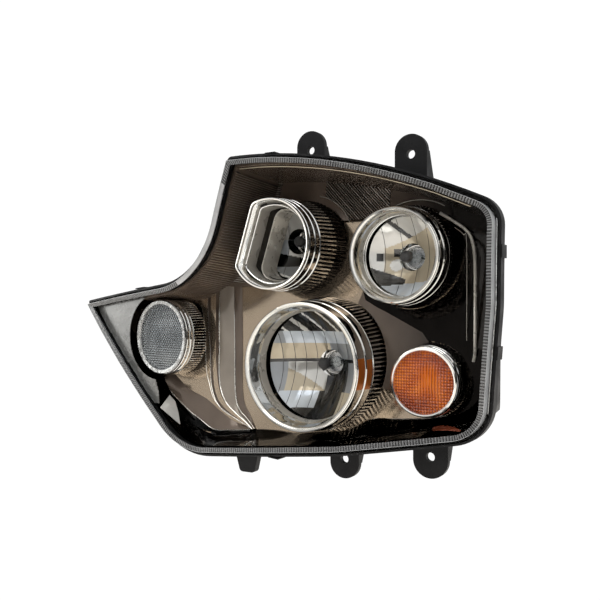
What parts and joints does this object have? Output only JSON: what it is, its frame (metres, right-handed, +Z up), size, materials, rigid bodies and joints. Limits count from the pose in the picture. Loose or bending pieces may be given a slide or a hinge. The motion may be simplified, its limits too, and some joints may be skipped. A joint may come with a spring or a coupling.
{
  "type": "car headlight assembly",
  "caption": "Truck headlight with a clear lens, round chrome-ringed lamps in a smoked bezel, levelling and aiming gear, twist-off rear caps and bolt brackets.",
  "frame": {"origin": "centre of the upper outer bracket's bolt hole, at the bracket's front face", "axes": "-Y is the way the beams shine, +X is outboard, +Z is up"},
  "size_m": [0.5369, 0.171, 0.369],
  "materials": {
    "clear_lens": "clear moulded polycarbonate, hard coated, gloss",
    "housing_black": "black glass-filled polypropylene, fine grain",
    "bronze_mirror": "smoked bronze vacuum-aluminised plastic",
    "dark_texture": "dark smoked aluminised plastic with fine fluting",
    "bright_mirror": "bright vacuum-aluminised plastic",
    "amber_lens": "amber transparent acrylic with moulded prisms",
    "prism_lens": "clear acrylic with honeycomb optics",
    "bulb_glass": "clear quartz glass",
    "amber_glass": "amber-coated glass",
    "steel": "zinc-plated steel",
    "brass": "tinned brass contacts",
    "nylon_white": "natural nylon",
    "nylon_grey": "dark grey filled nylon",
    "rubber_black": "soft black rubber"
  },
  "bodies": {
    "lamp": {"aux_bulb_base": "steel", "aux_bulb_glass": "bulb_glass", "aux_cap_seal": "rubber_black", "aux_inner_frame": "bright_mirror", "aux_reflector": "bright_mirror", "aux_ring": "bright_mirror", "bezel": "bronze_mirror", "bracket_lower_mid": "housing_black", "bracket_lower_outer": "housing_black", "bracket_upper_inner": "housing_black", "bracket_upper_outer": "housing_black", "connector_pins": "brass", "high_cap_seal": "rubber_black", "high_ring": "bright_mirror", "holder_seals": "rubber_black", "housing": "housing_black", "lens_clips": "steel", "lens_cover": "clear_lens", "lens_seal": "rubber_black", "levelling_motor": "nylon_grey", "low_cap_seal": "rubber_black", "low_ring": "bright_mirror", "lower_inner_foot": "housing_black", "main_connector": "nylon_grey", "marker_lens": "prism_lens", "marker_reflector": "bright_mirror", "marker_ring": "bright_mirror", "pivot_ball_stud": "steel", "side_adjuster_guide": "nylon_grey", "turn_lens": "amber_lens", "turn_reflector": "bright_mirror", "turn_ring": "bright_mirror", "upper_bezel": "dark_texture", "vent_caps": "nylon_grey"},
    "aim_yoke": {"pivot_socket": "nylon_white"},
    "carrier": {"reflector_carrier": "nylon_grey", "carrier_screws": "steel", "levelling_ball_cup": "nylon_white", "side_adjuster_ball_cup": "nylon_white", "low_reflector": "bright_mirror", "low_bulb_glass": "bulb_glass", "low_bulb_base": "steel", "high_reflector": "bright_mirror", "high_bulb_glass": "bulb_glass", "high_bulb_base": "steel"},
    "low_clip": {"low_bulb_clip": "steel"},
    "high_clip": {"high_bulb_clip": "steel"},
    "aux_clip": {"aux_bulb_clip": "steel"},
    "low_cap": {"low_cap": "nylon_grey"},
    "high_cap": {"high_cap": "nylon_grey"},
    "aux_cap": {"aux_cap": "nylon_grey"},
    "levelling_spindle": {"levelling_spindle": "steel"},
    "levelling_knob": {"levelling_knob": "nylon_white"},
    "side_spindle": {"side_adjuster_spindle": "steel"},
    "side_knob": {"side_adjuster_knob": "nylon_white"},
    "turn_holder": {"turn_bulb_holder": "nylon_grey", "turn_bulb": "amber_glass"},
    "marker_holder": {"marker_bulb_holder": "nylon_grey", "marker_bulb": "bulb_glass"}
  },
  "joints": [
    {"name": "aim_yaw", "type": "hinge", "parent": "lamp", "child": "aim_yoke", "pos_m": [-0.02, 0.042, -0.165], "axis": [0, 0, 1], "range_deg": [-2, 2]},
    {"name": "aim_pitch", "type": "hinge", "parent": "aim_yoke", "child": "carrier", "pos_m": [-0.02, 0.042, -0.165], "axis": [1, 0, 0], "range_deg": [-2.5, 2.5]},
    {"name": "low_clip_swing", "type": "hinge", "parent": "carrier", "child": "low_clip", "pos_m": [-0.102, 0.0519, -0.1894], "axis": [1, 0, 0], "range_deg": [0, 60]},
    {"name": "high_clip_swing", "type": "hinge", "parent": "carrier", "child": "high_clip", "pos_m": [-0.0088, 0.0519, -0.0783], "axis": [1, 0, 0], "range_deg": [0, 60]},
    {"name": "aux_clip_swing", "type": "hinge", "parent": "lamp", "child": "aux_clip", "pos_m": [-0.1378, 0.0619, -0.0583], "axis": [1, 0, 0], "range_deg": [0, 60]},
    {"name": "low_cap_twist", "type": "hinge", "parent": "lamp", "child": "low_cap", "pos_m": [-0.102, 0.066, -0.2114], "axis": [0, 1, 0], "range_deg": [0, 35]},
    {"name": "high_cap_twist", "type": "hinge", "parent": "lamp", "child": "high_cap", "pos_m": [-0.0088, 0.066, -0.1003], "axis": [0, 1, 0], "range_deg": [0, 35]},
    {"name": "aux_cap_twist", "type": "hinge", "parent": "lamp", "child": "aux_cap", "pos_m": [-0.1378, 0.066, -0.0803], "axis": [0, 1, 0], "range_deg": [0, 35]},
    {"name": "levelling_slide", "type": "slide", "parent": "lamp", "child": "levelling_spindle", "axis": [0, 1, 0], "range_m": [-0.0034, 0.0034]},
    {"name": "levelling_knob_turn", "type": "hinge", "parent": "lamp", "child": "levelling_knob", "pos_m": [-0.02, 0.1, -0.24], "axis": [0, 1, 0], "range_deg": [-400, 400]},
    {"name": "side_slide", "type": "slide", "parent": "lamp", "child": "side_spindle", "axis": [0, 1, 0], "range_m": [-0.006, 0.006]},
    {"name": "side_knob_turn", "type": "hinge", "parent": "lamp", "child": "side_knob", "pos_m": [-0.185, 0.078, -0.165], "axis": [0, 1, 0], "range_deg": [-350, 350]},
    {"name": "turn_holder_twist", "type": "hinge", "parent": "lamp", "child": "turn_holder", "pos_m": [0.0206, 0.07, -0.2226], "axis": [0, 1, 0], "range_deg": [0, 45]},
    {"name": "marker_holder_twist", "type": "hinge", "parent": "lamp", "child": "marker_holder", "pos_m": [-0.2983, -0.022, -0.1864], "axis": [0.1736, 0.9848, 0], "range_deg": [0, 45]}
  ],
  "couplings": [
    {"joint": "levelling_slide", "follows": "aim_pitch", "m_per_rad": 0.075},
    {"joint": "levelling_knob_turn", "follows": "aim_pitch", "ratio": 157.08},
    {"joint": "side_slide", "follows": "aim_yaw", "m_per_rad": -0.165},
    {"joint": "side_knob_turn", "follows": "aim_yaw", "ratio": -172.79}
  ]
}
